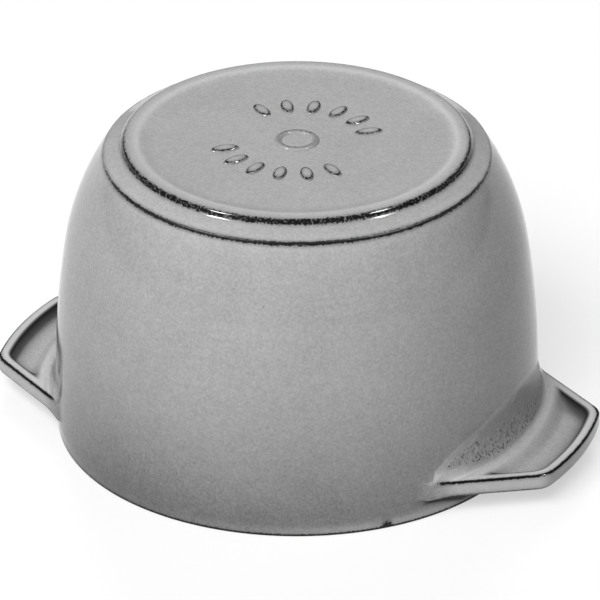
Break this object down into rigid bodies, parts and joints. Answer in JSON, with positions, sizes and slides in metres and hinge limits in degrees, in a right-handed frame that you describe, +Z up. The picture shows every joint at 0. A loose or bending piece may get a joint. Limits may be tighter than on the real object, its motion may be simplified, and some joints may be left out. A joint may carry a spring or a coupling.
{
  "type": "rice cocotte",
  "caption": "Round enamelled cast-iron rice pot with side lugs, standing upside down on its rim over its own inset lid, which has a turned metal knob; the pot lifts off.",
  "frame": {"origin": "on the surface that the object stands on, at the centre of the rim's standing face, on the pot's axis", "axes": "+Z up, from the rim towards the foot ring of the upturned pot; +X along the middle line of the two lugs"},
  "size_m": [0.1646, 0.1292, 0.084],
  "materials": {
    "bare_iron": "ground cast iron, dark and matt",
    "grey_gloss_enamel": "glossy mid-grey vitreous enamel that breaks to near black on sharp edges",
    "black_matt_enamel": "matt black vitreous enamel with a fine rough grain",
    "plated_knob": "satin nickel plating with turning marks",
    "stainless_fixing": "plain stainless steel"
  },
  "bodies": {
    "lid": {"lid_casting": "bare_iron", "lid_exterior_enamel": "grey_gloss_enamel", "lid_interior_enamel": "black_matt_enamel", "lid_knob": "plated_knob", "knob_screw": "stainless_fixing", "screw_washer": "stainless_fixing"},
    "pot": {"pot_casting": "bare_iron", "pot_exterior_enamel": "grey_gloss_enamel", "pot_interior_enamel": "black_matt_enamel"}
  },
  "joints": [
    {"name": "pot_lift", "type": "slide", "parent": "lid", "child": "pot", "axis": [0, 0, 1], "range_m": [0, 0.1]}
  ]
}
